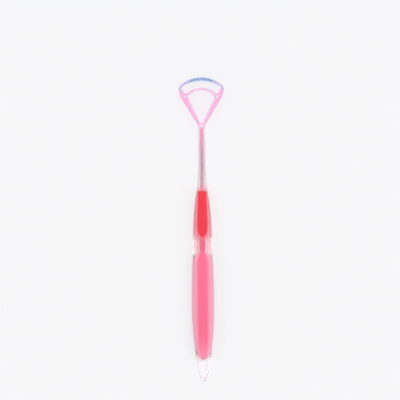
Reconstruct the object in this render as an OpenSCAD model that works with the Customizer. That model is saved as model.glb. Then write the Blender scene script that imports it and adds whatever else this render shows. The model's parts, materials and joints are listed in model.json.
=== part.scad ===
// Tongue scraper: a clear moulded tool with a fan-shaped scraping head on a slim neck, a soft pink
// grip let into the front of its handle, and a soft red thumb pad let into the grip's upper end.
// The tool lies on its back. Its head points along +Y and its scraping edges face up, along +Z.
// The origin is under the middle of the tool, on the surface that it lies on.

/* [Head] */
// Width of the head, corner to corner
head_width = 27.2; // [23:0.1:32]
// Length of the head, from the end of the neck to its tip
head_length = 29.2; // [25:0.1:34]
// Radius of the head's curved tip
tip_radius = 19; // [16:0.1:23]
// Radius of the head's two corners
corner_radius = 2.5; // [2:0.1:3]
// How much each side of the head draws in from its corner to its hip
hip_inset = 0.9; // [0.7:0.1:1.1]
// Distance from the corners back to the hips, where the sides turn in towards the neck
hip_drop = 4.1; // [3.5:0.1:4.8]
// Radius of the hips
hip_radius = 1.8; // [1.5:0.1:2.4]
// Radius of the head's base, where it meets the neck
base_radius = 3; // [2.7:0.1:3.4]
// Thickness of the head's flat frame
frame_depth = 2; // [1.6:0.1:2.4]

/* [Crescent window] */
// Width of the band between the window and the tip, on the middle line
tip_band = 2.1; // [1.8:0.1:2.4]
// Width of that band at the corners of the head
corner_band = 1.2; // [1:0.1:1.4]
// Height of the window on the middle line
window_height = 4.1; // [3.5:0.1:4.8]
// Width of the bar between the window and the corner of the head
side_bar = 1.5; // [1.2:0.1:1.8]
// Width of the bar between the window's lower end and the hip
foot_bar = 2.3; // [1.9:0.1:2.7]
// Distance from the corners of the head back to the window's lower ends
foot_drop = 2.9; // [2.5:0.1:3.3]
// Radius of the window's corners
window_corner = 0.5; // [0.4:0.05:0.6]

/* [Loop] */
// Distance from the side of the head to the side of the loop
loop_gap = 4.5; // [3.9:0.1:5.2]
// Radius of the loop's curved top
loop_radius = 12; // [11.5:0.1:14.5]
// Radius of the loop's shoulders
loop_shoulder = 3.8; // [3.2:0.1:4.5]
// Width of the frame outside the loop at its foot
loop_margin = 0.5; // [0.4:0.05:0.6]
// Width of the loop's bar
loop_bar = 1.4; // [1.2:0.1:1.7]
// Width of the three-cornered notch at each side of the loop
notch_width = 1.7; // [1.4:0.1:1.9]
// Length of that notch
notch_length = 2; // [1.7:0.1:2.4]
// Radius of that notch's corners
notch_corner = 0.2; // [0.15:0.05:0.25]
// Width of the link between that notch and the crescent window
link_bar = 1.1; // [0.9:0.1:1.3]

/* [Scraping edges] */
// Height of the rim round the loop's window, above the frame
rim_height = 1.2; // [0.9:0.1:1.5]
// Width of that rim
rim_width = 1; // [0.8:0.1:1.1]
// Height of the edge along the tip, above the frame
edge_height = 1.2; // [0.9:0.1:1.5]
// Width of that edge
edge_width = 0.8; // [0.6:0.1:0.9]
// How far that edge stands back from the head's outline
edge_setback = 0.15; // [0.1:0.05:0.2]
// Radius of the nubs that fill the gap in the middle of that edge
nub_radius = 0.4; // [0.3:0.05:0.45]
// Height of the nubs above the frame
nub_height = 0.8; // [0.6:0.1:1]
// Distance from the tip to the line of nubs
nub_setback = 1; // [0.8:0.05:1.2]
// Distance from one nub to the next
nub_pitch = 1.5; // [1.3:0.05:1.6]
// Number of nubs
nub_count = 9; // [5:2:11]

/* [Neck] */
// Width of the neck
neck_width = 4.2; // [3.5:0.1:5]
// Depth of the neck, front to back
neck_depth = 4.2; // [3.5:0.1:5]
// Length of the neck, between handle and head
neck_length = 37.4; // [31:0.2:45]

/* [Handle] */
// Width of the handle at its widest
handle_width = 13.3; // [11.2:0.1:15.8]
// Depth of the handle at its deepest, before its back is cut flat
handle_depth = 9.6; // [8.2:0.1:11.4]
// How much is cut off the back of the handle to make its flat
flat_cut = 0.4; // [0.3:0.05:0.5]
// Length of the clear tail below the grip
tail_length = 13.2; // [11:0.2:16]
// Length of the clear shoulder above the thumb pad
shoulder_length = 1.4; // [1.2:0.1:1.7]

/* [Grip] */
// Length of the palm grip, from its pointed tail to its arched nose
grip_length = 65; // [54:0.5:78]
// Length of its pointed tail
grip_tail = 15; // [12.5:0.5:18]
// Length of its arched nose
nose_length = 9; // [7.5:0.1:10.8]
// Thickness of the soft layer at the front
soft_wall = 2.4; // [2:0.1:2.9]
// Thickness of the soft layer at the handle's sides
side_wall = 0.7; // [0.55:0.05:0.85]
// How far the grip's lower edge lies below the middle of the handle's depth
parting_drop = 0.5; // [0.4:0.05:0.6]
// Width of the bridge between palm grip and thumb pad
bridge_width = 3.1; // [2.6:0.1:3.7]
// Length of that bridge
bridge_length = 7.1; // [6:0.1:8.4]

/* [Thumb pad] */
// Length of the thumb pad
pad_length = 27.2; // [22.6:0.2:32.4]
// Width of the pad at its round lower end
pad_width = 6.2; // [5.2:0.1:7.4]
// Width of the pad at its square upper end
pad_top_width = 5.2; // [4.4:0.1:6]
// Length of its round lower end
pad_round = 7.5; // [6.3:0.1:8.9]
// Length over which its upper corners are rounded
pad_top_round = 1; // [0.8:0.1:1.2]
// How deep the pad is let into its bed
pad_depth = 1; // [0.8:0.1:1.2]
// How far the pad stands above its bed
pad_rise = 0.4; // [0.3:0.05:0.5]
// Width of the bed round the pad's lower end
bed_border = 1.6; // [1.3:0.1:1.8]
// Width of the bed round the pad's upper end
bed_top_border = 0.4; // [0.3:0.05:0.5]
// Number of ribs along the pad
rib_count = 5; // [3:1:6]
// Width of a rib
rib_width = 0.55; // [0.45:0.05:0.65]
// Height of a rib above the pad
rib_height = 0.3; // [0.2:0.05:0.4]
// Distance from the ribs to the edge of the pad
rib_margin = 0.25; // [0.2:0.05:0.3]

/* [Hidden] */

// Lengths that follow from the sizes above
bed_length = bed_border + pad_length + bed_top_border;
handle_length = tail_length + grip_length + bridge_length + bed_length + shoulder_length;
tool_length = handle_length + neck_length + head_length;

// Places along the tool, counted from the tip of its tail
grip_start = tail_length;
grip_end = grip_start + grip_length;
bed_start = grip_end + bridge_length;
bed_end = bed_start + bed_length;
pad_start = bed_start + bed_border;
pad_end = pad_start + pad_length;
head_start = handle_length + neck_length;

// The head's full thickness, and the heights that follow from the handle's depth
head_depth = frame_depth + max(rim_height, edge_height);
middle_height = handle_depth / 2 - flat_cut;
frame_bottom = middle_height - head_depth / 2;
parting_height = middle_height - parting_drop;
overrun = handle_depth;

// Half width and half depth along the handle, and how far its middle rises: in each pair, a share
// of the handle's length and a share of its greatest half width, half depth or depth
width_shares = [[0, 0.46], [0.06, 0.58], [0.1, 0.65], [0.145, 0.73], [0.215, 0.835], [0.27, 0.925],
    [0.33, 0.985], [0.42, 1], [0.52, 0.97], [0.66, 0.905], [0.76, 0.86], [0.84, 0.8], [0.9, 0.71],
    [0.95, 0.61], [1, 0.46]];
depth_shares = [[0, 0.42], [0.1, 0.6], [0.2, 0.82], [0.3, 0.95], [0.4, 1], [0.54, 0.97],
    [0.68, 0.84], [0.76, 0.8], [0.85, 0.755], [0.93, 0.68], [1, 0.56]];
rise_shares = [[0, 0.02], [0.12, 0.005], [0.3, 0], [0.45, 0], [0.56, -0.012], [0.68, -0.05],
    [0.76, -0.062], [0.85, -0.035], [0.95, -0.005], [1.05, 0], [2, 0]];
tail_round_share = 0.112;
shoulder_share = 0.045;
waist_share = 0.93;

// Shape of the handle's cross section: 2 is an ellipse, and more is squarer
section_power = 2.4;

// Plan of the soft grip: how far it reaches past the handle's sides, and the powers that curve its
// ends, where a pair of 2 and 0.5 is a quarter ellipse
reach_share = 1.06;
tail_powers = [2.5, 0.5];
nose_powers = [2, 0.55];
round_powers = [2, 0.5];
square_powers = [4, 0.25];

// A nub narrows to this share of its radius
nub_top_share = 0.55;

// How finely curves are drawn
sides = 32;
tail_rings = 6;
handle_rings = 26;
shoulder_rings = 6;
neck_rings = 6;
plan_steps = 10;
arc_turn = 9;
least_step = 0.01;
round_fn = 32;

// A smooth curve through the points of a table
function place(table, t, i = 0) =
    i >= len(table) - 2 || t < table[i + 1][0] ? i : place(table, t, i + 1);
function slope(table, i) =
    let (a = table[max(i - 1, 0)])
    let (b = table[min(i + 1, len(table) - 1)])
    (b[1] - a[1]) / (b[0] - a[0]);
function between(table, t) =
    let (i = place(table, t))
    let (a = table[i])
    let (b = table[i + 1])
    let (gap = b[0] - a[0])
    let (s = min(max((t - a[0]) / gap, 0), 1))
    (2 * pow(s, 3) - 3 * pow(s, 2) + 1) * a[1] + (3 * pow(s, 2) - 2 * pow(s, 3)) * b[1]
        + gap * (pow(s, 3) - 2 * pow(s, 2) + s) * slope(table, i)
        + gap * (pow(s, 3) - pow(s, 2)) * slope(table, i + 1);

// A step from 0 to 1 that starts and ends gently, and a curved end that rises from 0 to 1
function ease(t) =
    let (s = min(max(t, 0), 1))
    s * s * (3 - 2 * s);
function taper(t, powers) =
    let (s = min(max(t, 0), 1))
    pow(1 - pow(1 - s, powers[0]), powers[1]);

// The handle's tables, carried on into the neck
function with_neck(table, neck_share) =
    let (last_share = table[len(table) - 1][1])
    concat(table, [
        [1 + shoulder_share, (neck_share + last_share) / 2],
        [1 + 3 * shoulder_share, neck_share],
        [2, neck_share]
    ]);
tool_width_shares = with_neck(width_shares, neck_width / handle_width);
tool_depth_shares = with_neck(depth_shares, neck_depth / handle_depth);

// Half width, half depth and middle height of the handle and neck, at a distance s from the tail
tail_end = tail_round_share * handle_length;
function tail_taper(s) = taper(s / tail_end, round_powers);
function half_width(s) =
    handle_width / 2 * between(tool_width_shares, s / handle_length) * tail_taper(s);
function half_depth(s) =
    let (full = handle_depth / 2 * between(tool_depth_shares, s / handle_length) * tail_taper(s))
    full + (head_depth / 2 - full) * ease(1 - (head_start - s) / (neck_length / 2));
function middle(s) = middle_height + handle_depth * between(rise_shares, s / handle_length);

// The places of the rings that the handle and neck are drawn through
function steps(from, to, count) = [for (i = [1:count]) from + (to - from) * i / count];
waist_end = waist_share * handle_length;
shoulder_end = (1 + 3 * shoulder_share) * handle_length;
tool_places = concat(
    [least_step],
    [for (i = [1:tail_rings]) tail_end * (1 - cos(90 * i / tail_rings))],
    steps(tail_end, waist_end, handle_rings),
    steps(waist_end, shoulder_end, shoulder_rings),
    steps(shoulder_end, head_start, neck_rings)
);
soft_places = [for (s = tool_places) if (s > grip_start / 2 && s < shoulder_end) s];
bed_places = [for (s = tool_places) if (s > grip_end && s < shoulder_end) s];

// One ring, moved outwards by grow and up by lift
function bulge(x) = sign(x) * pow(abs(x), 2 / section_power);
function ring(s, grow, lift) = [for (i = [0:sides - 1])
    let (a = 360 * i / sides)
    [
        (half_width(s) + grow) * bulge(cos(a)),
        s - tool_length / 2,
        middle(s) + lift + (half_depth(s) + grow) * bulge(sin(a))
    ]];

// A closed solid through the rings at the given places
module skin(places, grow = 0, lift = 0) {
    last = len(places) - 1;
    walls = [for (j = [0:last - 1], i = [0:sides - 1])
        let (a = j * sides + i)
        let (b = j * sides + (i + 1) % sides)
        each [[a, b + sides, a + sides], [a, b, b + sides]]];
    tail_face = [for (i = [sides - 1:-1:0]) i];
    neck_face = [for (i = [0:sides - 1]) last * sides + i];
    polyhedron(
        points = [for (s = places) each ring(s, grow, lift)],
        faces = concat([tail_face, neck_face], walls),
        convexity = 4
    );
}

// The points of a band wrapped round circles, each given as [x, y, radius] and taken anticlockwise
function turn(a, b) =
    let (dx = b.x - a.x)
    let (dy = b.y - a.y)
    atan2(dy, dx) - acos(min(max((a.z - b.z) / norm([dx, dy]), -1), 1));
function arc(c, from, to) =
    let (sweep = (to - from + 720) % 360)
    let (count = max(ceil(sweep / arc_turn), 1))
    [for (i = [0:count])
        let (a = from + sweep * i / count)
        [c.x + c.z * cos(a), c.y + c.z * sin(a)]];
function wrap(circles) =
    let (n = len(circles))
    let (turns = [for (i = [0:n - 1]) turn(circles[i], circles[(i + 1) % n])])
    let (points = [for (i = [0:n - 1]) each arc(circles[i], turns[(i + n - 1) % n], turns[i])])
    let (m = len(points))
    [for (i = [0:m - 1]) if (norm(points[i] - points[(i + 1) % m]) > least_step) points[i]];

// Circles for the right side, with their mirror images, round a circle at the top
function both_sides(right, top) = concat(right, [top],
    [for (i = [len(right) - 1:-1:0]) [-right[i].x, right[i].y, right[i].z]]);
function inset(circles, by) = [for (c = circles) [c.x, c.y, c.z - by]];

// A small circle that rounds the corner between a big arc and an upright at half from the middle
function big_arc(radius, top) = [0, top - radius, radius];
function corner(radius, top, half, small) =
    [half - small, top - radius + sqrt(pow(radius - small, 2) - pow(half - small, 2)), small];

// The outlines of the head, of its loop and of its crescent window
hip_half = head_width / 2 - hip_inset;
head_corner = corner(tip_radius, head_length, head_width / 2, corner_radius);
head_hip = [hip_half - hip_radius, head_corner.y - hip_drop, hip_radius];
head_circles = concat(
    [[0, base_radius, base_radius]],
    both_sides([head_hip, head_corner], big_arc(tip_radius, head_length))
);
window_top = head_length - tip_band;
window_foot = head_corner.y - foot_drop;
corner_angle = asin(head_corner.x / (tip_radius - corner_radius));
window_end = [
    (tip_radius - corner_band) * sin(corner_angle),
    head_length - tip_radius + (tip_radius - corner_band) * cos(corner_angle)
];
window_fall = window_top - window_end.y;
window_radius = (pow(window_end.x, 2) + pow(window_fall, 2)) / 2 / window_fall;
window_circles = both_sides(
    [
        [hip_half - foot_bar - window_corner, window_foot + window_corner, window_corner],
        corner(window_radius, window_top, head_width / 2 - side_bar, window_corner)
    ],
    big_arc(window_radius, window_top)
);
loop_top = window_top - window_height;
loop_half = head_width / 2 - loop_gap;
loop_circles = concat(
    [[0, base_radius, base_radius - loop_margin]],
    both_sides(
        [corner(loop_radius, loop_top, loop_half, loop_shoulder)],
        big_arc(loop_radius, loop_top)
    )
);

module head_outline(by = 0) {
    polygon(wrap(inset(head_circles, by)));
}

module loop_outline(by = 0) {
    polygon(wrap(inset(loop_circles, by)));
}

// The three-cornered notch at the right side of the loop
module notch() {
    inner = loop_half - notch_corner;
    outer = inner + notch_width;
    top = window_foot - link_bar - notch_corner;
    bottom = top - notch_length + notch_corner;
    polygon(wrap([[inner, bottom, notch_corner], [outer, top, notch_corner],
        [inner, top, notch_corner]]));
}

module frame_plan() {
    difference() {
        union() {
            head_outline();
            translate([-neck_width / 2, 0])
                square([neck_width, base_radius]);
        }
        difference() {
            union() {
                polygon(wrap(window_circles));
                notch();
                mirror([1, 0]) notch();
            }
            loop_outline();
        }
        loop_outline(loop_bar);
    }
}

module rim_plan() {
    difference() {
        loop_outline(loop_bar - rim_width);
        loop_outline(loop_bar);
    }
}

module edge_plan() {
    gap = nub_pitch * nub_count;
    difference() {
        head_outline(edge_setback);
        head_outline(edge_setback + edge_width);
        translate([-head_width / 2, 0])
            square([head_width, head_corner.y]);
        translate([-gap / 2, 0])
            square([gap, head_length]);
    }
}

module nubs() {
    line_radius = tip_radius - nub_setback;
    step = 2 * asin(nub_pitch / 2 / line_radius);
    translate([0, head_length - tip_radius])
        for (i = [0:nub_count - 1])
            rotate(step * (i - (nub_count - 1) / 2))
                translate([0, line_radius, 0])
                    cylinder(h = frame_depth + nub_height, r1 = nub_radius,
                        r2 = nub_radius * nub_top_share, $fn = round_fn);
}

// Clear head: a flat frame with its windows, the raised rim of the loop, and along the tip an
// edge whose middle is a row of nubs
module scraper_head() {
    color("pink", 0.6)
        translate([0, head_start - tool_length / 2, frame_bottom]) {
            linear_extrude(height = frame_depth) frame_plan();
            linear_extrude(height = frame_depth + rim_height) rim_plan();
            linear_extrude(height = frame_depth + edge_height) edge_plan();
            nubs();
        }
}

// A plan and its mirror image about the middle line, from a list of [half width, place]
module mirrored_plan(right) {
    points = concat(right, [for (i = [len(right) - 1:-1:0]) [-right[i].x, right[i].y]]);
    last = len(points) - 1;
    translate([0, -tool_length / 2])
        polygon([for (i = [0:last])
            if (norm(points[i] - points[i == 0 ? last : i - 1]) > least_step) points[i]]);
}

// Places from one end of a stretch to the other, closer together where it starts
function from_end(from, to) = [for (i = [0:plan_steps])
    from + (to - from) * (1 - cos(90 * i / plan_steps))];
function backwards(list) = [for (i = [len(list) - 1:-1:0]) list[i]];
function spread(from, to, t) = from + (to - from) * t;

module palm_plan() {
    point_end = grip_start + grip_tail;
    nose_start = grip_end - nose_length;
    places = concat(
        from_end(grip_start, point_end),
        steps(point_end, nose_start, plan_steps),
        backwards(from_end(grip_end, nose_start))
    );
    mirrored_plan([for (s = places)
        [
            half_width(s) * reach_share * taper((s - grip_start) / grip_tail, tail_powers)
                * taper((grip_end - s) / nose_length, nose_powers),
            s
        ]]);
}

// The plan of the thumb pad, or of its bed, which is wider by low at its lower end and high above
module pad_plan(low = 0, high = 0) {
    from = pad_start - low;
    to = pad_end + high;
    round_end = from + pad_round + low;
    top_start = to - pad_top_round;
    places = concat(
        from_end(from, round_end),
        steps(round_end, top_start, plan_steps),
        backwards(from_end(to, top_start))
    );
    mirrored_plan([for (s = places)
        [
            spread(pad_width / 2 + low, pad_top_width / 2 + high, (s - from) / (to - from))
                * taper((s - from) / (pad_round + low), round_powers)
                * taper((to - s) / pad_top_round, square_powers),
            s
        ]]);
}

// The bridge runs into the nose at one end and into the bed at the other
module bridge_plan() {
    from = grip_end - nose_length / 2;
    to = bed_start + pad_round / 2;
    translate([-bridge_width / 2, from - tool_length / 2])
        square([bridge_width, to - from]);
}

module rib_plan() {
    pitch = (pad_top_width - 2 * rib_margin - rib_width) / (rib_count - 1);
    intersection() {
        pad_plan(-rib_margin, -rib_margin);
        for (i = [0:rib_count - 1])
            translate([pitch * (i - (rib_count - 1) / 2) - rib_width / 2, -tool_length / 2])
                square([rib_width, tool_length]);
    }
}

// A plan drawn up from the grip's lower edge to above the tool
module upright() {
    translate([0, 0, parting_height])
        linear_extrude(height = overrun) children();
}

// The space of the soft grip, open at the top
module grip_space() {
    difference() {
        upright() {
            palm_plan();
            bridge_plan();
            pad_plan(bed_border, bed_top_border);
        }
        skin(soft_places, -side_wall, side_wall - soft_wall);
    }
}

// Clear core: tail, handle and neck, with its back cut flat and the grip's space cut out
module handle_core() {
    color("lavenderblush", 0.5)
        difference() {
            skin(tool_places);
            translate([-handle_width, -tool_length, -overrun])
                cube([2 * handle_width, 2 * tool_length, overrun]);
            grip_space();
        }
}

// Soft grip: palm area, bridge and the bed with its pocket for the thumb pad
module palm_grip() {
    color("hotpink")
        difference() {
            intersection() {
                skin(soft_places);
                grip_space();
            }
            difference() {
                upright() pad_plan();
                skin(bed_places, 0, -pad_depth);
            }
        }
}

// Thumb pad with its lengthwise ribs
module thumb_pad() {
    color("crimson")
        difference() {
            union() {
                intersection() {
                    upright() pad_plan();
                    skin(bed_places, 0, pad_rise);
                }
                intersection() {
                    upright() rib_plan();
                    skin(bed_places, 0, pad_rise + rib_height);
                }
            }
            skin(bed_places, 0, -pad_depth);
        }
}

scraper_head();
handle_core();
palm_grip();
thumb_pad();
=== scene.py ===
"""Looks of the tongue scraper: one clear moulding with a soft pink grip and a soft red thumb pad.

The script is laid out as an add-on and run as a script. Sizes are in metres, in the frame of the
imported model: the tool lies on its back along Y, its head at the far end, its front facing up.
"""

import json
import math

import bmesh
import bpy
import numpy as np
from mathutils import Matrix, Vector

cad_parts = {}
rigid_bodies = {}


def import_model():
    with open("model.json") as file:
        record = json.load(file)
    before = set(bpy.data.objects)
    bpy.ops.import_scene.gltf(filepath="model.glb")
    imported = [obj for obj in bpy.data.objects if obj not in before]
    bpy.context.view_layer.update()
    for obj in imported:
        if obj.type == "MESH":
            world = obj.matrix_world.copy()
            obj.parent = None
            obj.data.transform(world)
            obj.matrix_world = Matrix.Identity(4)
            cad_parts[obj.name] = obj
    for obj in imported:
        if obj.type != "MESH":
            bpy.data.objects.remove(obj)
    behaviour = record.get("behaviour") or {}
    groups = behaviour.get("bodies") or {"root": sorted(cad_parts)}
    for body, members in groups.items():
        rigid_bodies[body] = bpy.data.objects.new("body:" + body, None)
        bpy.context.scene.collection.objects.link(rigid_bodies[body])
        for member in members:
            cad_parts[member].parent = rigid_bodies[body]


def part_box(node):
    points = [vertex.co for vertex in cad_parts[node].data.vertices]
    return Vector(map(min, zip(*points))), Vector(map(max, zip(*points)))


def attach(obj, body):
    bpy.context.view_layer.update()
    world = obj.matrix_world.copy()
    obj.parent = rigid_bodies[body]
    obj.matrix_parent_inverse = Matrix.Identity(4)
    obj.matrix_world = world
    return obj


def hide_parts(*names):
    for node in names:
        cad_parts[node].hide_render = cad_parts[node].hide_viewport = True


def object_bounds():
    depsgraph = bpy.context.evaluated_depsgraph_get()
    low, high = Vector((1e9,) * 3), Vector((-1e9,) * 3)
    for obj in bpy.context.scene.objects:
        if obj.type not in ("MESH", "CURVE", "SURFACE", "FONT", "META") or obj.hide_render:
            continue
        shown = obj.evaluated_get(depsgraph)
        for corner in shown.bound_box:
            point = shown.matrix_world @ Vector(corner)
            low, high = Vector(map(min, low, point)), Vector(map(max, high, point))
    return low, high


bl_info = {
    "name": "Tongue scraper",
    "version": (1, 0, 0),
    "blender": (4, 5, 0),
    "location": "View3D > Sidebar > Scraper",
    "description": "Builds the looks of a clear tongue scraper with a soft grip and thumb pad",
    "category": "Object",
}

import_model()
cad_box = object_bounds()

BODY = "root"
MM = 0.001
HEAD_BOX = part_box("scraper_head")
PAD_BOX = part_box("thumb_pad")

# Half width, half depth and rise of the handle: a share of its length, and a share of its greatest
# half width, half depth or depth
WIDTH_SHARES = [
    (0, 0.46), (0.06, 0.58), (0.1, 0.65), (0.145, 0.73), (0.215, 0.835), (0.27, 0.925),
    (0.33, 0.985), (0.42, 1), (0.52, 0.97), (0.66, 0.905), (0.76, 0.86), (0.84, 0.8), (0.9, 0.71),
    (0.95, 0.61), (1, 0.46),
]
DEPTH_SHARES = [
    (0, 0.42), (0.1, 0.6), (0.2, 0.82), (0.3, 0.95), (0.4, 1), (0.54, 0.97), (0.68, 0.84),
    (0.76, 0.8), (0.85, 0.755), (0.93, 0.68), (1, 0.56),
]
RISE_SHARES = [
    (0, 0.02), (0.12, 0.005), (0.3, 0), (0.45, 0), (0.56, -0.012), (0.68, -0.05), (0.76, -0.062),
    (0.85, -0.035), (0.95, -0.005), (1.05, 0), (2, 0),
]

# Powers of rounded ends: a half circle, a square end, the grip's tail and the grip's nose
ROUND, SQUARE, TAIL, NOSE = (2, 0.5), (4, 0.25), (2.5, 0.5), (2, 0.55)


# ---- settings


def row(kind, text, value, **limits):
    """A setting, which takes its name when its group is made."""
    return lambda name: kind(name=name, description=text, default=value, **limits)


def length(text, millimetres, least=0):
    """A size, given in millimetres and kept in metres."""
    return row(
        bpy.props.FloatProperty, text, millimetres * MM, min=least, unit="LENGTH",
        subtype="DISTANCE", precision=5,
    )


def share(text, value, most=1):
    return row(bpy.props.FloatProperty, text, value, min=0, max=most, subtype="FACTOR")


def angle(text, degrees):
    return row(bpy.props.FloatProperty, text, math.radians(degrees), subtype="ANGLE")


def count(text, value, least, most):
    return row(bpy.props.IntProperty, text, value, min=least, max=most)


def tint(text, *levels):
    """A colour, given as on a screen by its red, green and blue from 0 to 255."""
    return row(
        bpy.props.FloatVectorProperty, text, [linear(level / 255) for level in levels], size=3,
        min=0, max=1, subtype="COLOR",
    )


def linear(value):
    return value / 12.92 if value <= 0.04045 else ((value + 0.055) / 1.055) ** 2.4


def with_names(group):
    """Makes each row of a group a property that is named after its key."""
    rows = group.__annotations__
    for key, make in rows.items():
        rows[key] = make(key.replace("_", " ").capitalize())
    return group


@with_names
class ScraperHandleSettings(bpy.types.PropertyGroup):
    """Sizes of the clear core, from the tip of its tail to the end of the neck."""

    handle_length: length("Tail, grip and shoulder, up to the neck", 115.9)
    handle_width: length("Across the widest part of the grip", 13.3)
    handle_depth: length("Through the thickest part of the grip", 9.6)
    flat_cut: length("What the flat back takes off the depth", 0.4)
    neck_width: length("Across the neck", 4.2)
    neck_depth: length("Through the neck", 4.2)
    neck_length: length("From the handle to the head", 37.4)
    core_inset: length("How far the core lies below the soft grip's face", 0.05)
    section_power: row(
        bpy.props.FloatProperty, "2 is an ellipse and more is squarer", 2.4, min=1.5, max=6
    )
    sides: count("Points round each section", 96, 12, 256)
    tint_clear: tint("Clear plastic of the tail and handle", 253, 249, 251)
    # Painted shade: a deeper tint along the middle of the clear neck, for the darkening seen
    # through it, pinker near the head
    tint_strand: tint("Deeper tint along the middle of the neck", 188, 146, 160)
    tint_high: tint("That tint near the head", 226, 146, 182)
    # Painted glow: the pad's pink light in the neck just above the pad
    tint_root: tint("That tint where the neck leaves the thumb pad", 238, 116, 150)
    # Painted glow: pink light from the soft grip in the clear plastic beside it
    tint_glow: tint("Pink that the soft shot lends to the clear one", 255, 190, 200)
    # Painted glow: milky pink beside the pad, which lightens the clear flanks' shade
    tint_bloom: tint("Milky pink of the clear plastic beside the pad", 255, 158, 174)


@with_names
class ScraperHeadSettings(bpy.types.PropertyGroup):
    """Sizes of the fan-shaped head, its windows, its loop, its ridges and its nubs."""

    width: length("Across the widest part of the fan", 27.2)
    reach: length("From the neck to the tip", 29.2)
    tip_radius: length("Radius of the curved tip", 19)
    corner_radius: length("Rounding at the ends of the tip", 2.5)
    hip_inset: length("How much narrower the fan is below its corners", 0.9)
    hip_drop: length("How far the hips lie below the corners", 4.1)
    hip_radius: length("Rounding of the hips", 1.8)
    base_radius: length("Rounding where the fan meets the neck", 3)
    plate: length("Thickness of the flat frame", 2)
    tip_band: length("Width of the frame at the tip", 2.1)
    corner_band: length("Width of the frame at the corners", 1.2)
    window_height: length("Height of the crescent window in the middle", 4.1)
    window_corner: length("Rounding in the window's corners", 0.5)
    side_bar: length("Width of the frame beside the window", 1.5)
    foot_bar: length("Width of the frame beside the window's foot", 2.3)
    foot_drop: length("How far the window's foot lies below the corners", 2.9)
    loop_gap: length("From the head's side to the loop", 4.5)
    loop_radius: length("Radius of the loop's top", 12)
    loop_shoulder: length("Rounding at the loop's sides", 3.8)
    loop_margin: length("How far the loop's foot lies inside the fan's", 0.5)
    loop_bar: length("Width of the loop", 1.4)
    notch_width: length("Width of the notches beside the loop", 1.7)
    notch_length: length("Length of the notches beside the loop", 2)
    notch_corner: length("Rounding in the notches' corners", 0.2)
    link_bar: length("Bar between the window's foot and a notch", 1.1)
    rim_width: length("Width of the raised rim on the loop", 0.98)
    rim_setback: length("How far that rim lies off the loop's hole", 0.05)
    ridge_height: length("How far the rim and the tip's edge stand up", 1.2)
    edge_width: length("Width of the raised edge along the tip", 0.8)
    edge_setback: length("How far that edge lies inside the outline", 0.15)
    rounding: length("Rounding of the frame's edges", 0.28)
    rim_rounding: length("Rounding of the raised rim's edges", 0.36)
    edge_rounding: length("Rounding of the raised edge along the tip", 0.3)
    ridge_root: length("How deep the rim and the edge start in the frame", 1.7)
    nub_radius: length("Radius at the foot of a nub", 0.4)
    nub_height: length("How far a nub stands up", 0.8)
    nub_root: length("How deep a nub starts in the frame", 0.08)
    nub_top_share: share("A nub's width at its top, without the rounding", 0.55)
    nub_setback: length("From the tip to the line of nubs", 1)
    nub_pitch: length("From one nub to the next", 1.5)
    nub_count: count("Nubs in the row", 9, 1, 40)
    tint_tip: tint("Cool tint at the ends of the band along the tip", 214, 200, 242)
    tint_cool: tint("Bluer tint in the middle of that band", 178, 200, 242)
    tint_frame: tint("Tint of the head's frame", 244, 184, 220)
    # Painted shade on the raised rim's flanks and a painted highlight along its crown
    tint_rim: tint("Deeper tint at the flanks of the raised rim", 246, 150, 222)
    tint_crown: tint("Paler tint along the crown of the raised rim", 255, 238, 255)
    # Painted shade: the clear nubs painted a deep blue
    tint_nub: tint("Deeper tint of the nubs", 22, 34, 98)


@with_names
class ScraperGripSettings(bpy.types.PropertyGroup):
    """Sizes of the soft grip: palm area, bridge and the bed of the thumb pad."""

    tail_length: length("Bare clear tail below the grip", 13.2)
    grip_length: length("Length of the palm area", 65)
    grip_tail: length("Length over which the palm area narrows to its tail", 15)
    nose_length: length("Length over which the palm area narrows to its nose", 9)
    soft_wall: length("Thickness of the soft shot in the middle", 2.4)
    side_wall: length("Thickness of the soft shot at the sides", 0.7)
    parting_drop: length("How far the grip reaches below the middle", 0.5)
    bridge_width: length("Width of the bridge to the bed", 3.1)
    bridge_length: length("Length of the bridge to the bed", 7.1)
    bed_border: length("Soft border at the pad's sides and lower end", 1.6)
    bed_top_border: length("Soft border at the pad's upper end", 0.4)
    border_rounding: length("Rounding of the soft grip's border", 0.32)
    nose_blend: length("Fillet between the palm area and the bridge", 0.7)
    bed_blend: length("Fillet between the bridge and the bed", 0.9)
    tint_grip: tint("Soft pink along the middle of the grip", 251, 104, 144)
    # Partly the thinner soft shot and partly a painted sheen on the curved flanks
    tint_flank: tint("Paler pink where the soft shot thins out", 252, 167, 190)
    tint_bridge: tint("Pink of the bridge", 238, 98, 132)
    tint_bed: tint("Pink of the bed round the thumb pad", 252, 104, 124)
    tint_edge: tint("Paler pink at the bed's outer edge", 255, 168, 182)


@with_names
class ScraperPadSettings(bpy.types.PropertyGroup):
    """Sizes of the thumb pad and its lengthwise ribs."""

    pad_length: length("Length of the thumb pad", 27.2)
    pad_width: length("Width at its lower end", 6.2)
    pad_top_width: length("Width at its upper end", 5.2)
    pad_round: length("Length of its rounded lower end", 7.5)
    pad_top_round: length("Rounding of its upper end", 1)
    pad_depth: length("How deep the pad sits in its bed", 1)
    pad_rise: length("How far the pad stands above its bed", 0.4)
    pad_rounding: length("Rounding of the pad's border", 0.45)
    rib_count: count("Ribs across the pad", 5, 1, 12)
    rib_width: length("Width of one rib", 0.55)
    rib_height: length("How far a rib stands up", 0.3)
    rib_margin: length("Flat border round the ribs", 0.25)
    tint_pad: tint("Red of the thumb pad", 244, 36, 58)
    # Painted highlight: the ribs are the pad's red, made lighter
    tint_rib: tint("Red on the crowns of the ribs", 255, 56, 78)


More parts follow.
